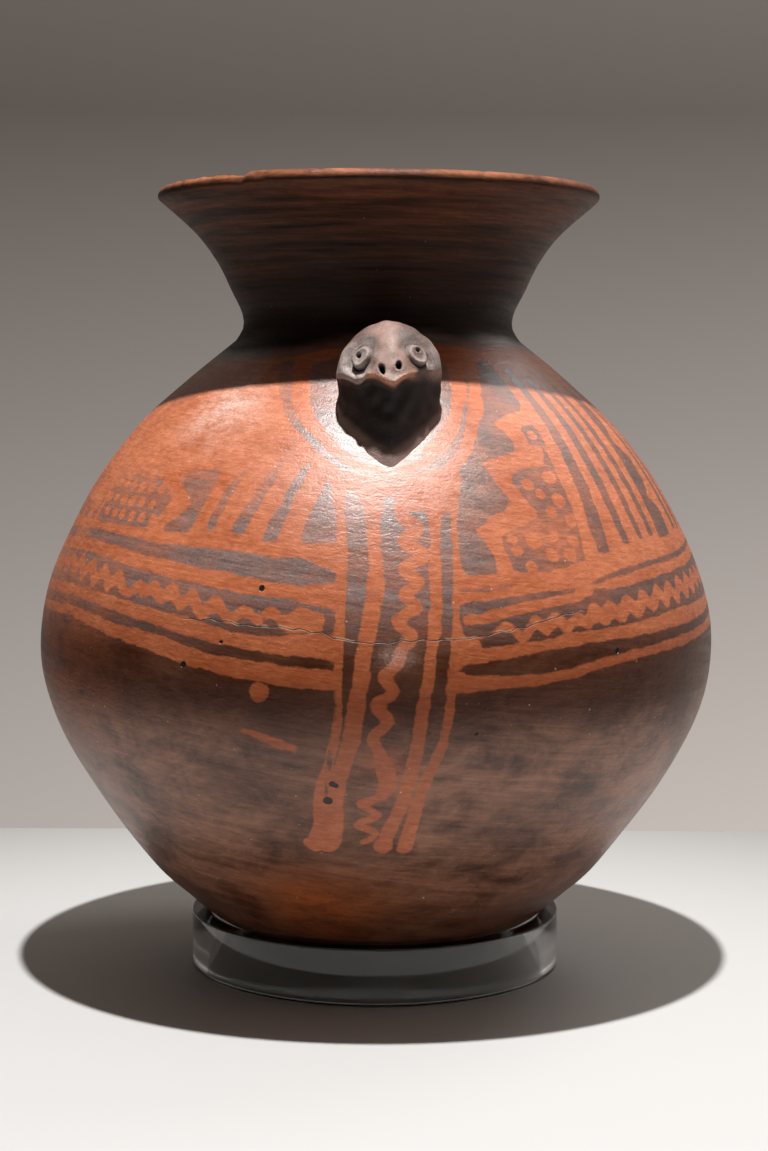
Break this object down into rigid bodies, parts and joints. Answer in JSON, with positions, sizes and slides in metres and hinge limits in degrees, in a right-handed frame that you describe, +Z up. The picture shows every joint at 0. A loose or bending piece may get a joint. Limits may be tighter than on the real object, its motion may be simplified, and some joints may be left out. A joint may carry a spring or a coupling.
{
  "type": "pottery bottle",
  "caption": "Round-bodied burnished pottery bottle with a flared mouth, a small modelled animal head on its shoulder and geometric painted bands, standing in a clear display ring.",
  "frame": {"origin": "on the floor, at the middle of the display ring's underside, on the vessel's own axis", "axes": "+Z up along the vessel's axis; -Y the way the modelled head looks, towards the picture's camera; +X towards the picture's right"},
  "size_m": [0.23, 0.23, 0.266],
  "materials": {
    "clay": "burnished red-slipped low-fired clay with dark brown resist painting",
    "acrylic": "clear polished acrylic tube with sawn, polished ends"
  },
  "bodies": {
    "root": {"vessel": "clay", "display_ring": "acrylic"}
  },
  "joints": []
}
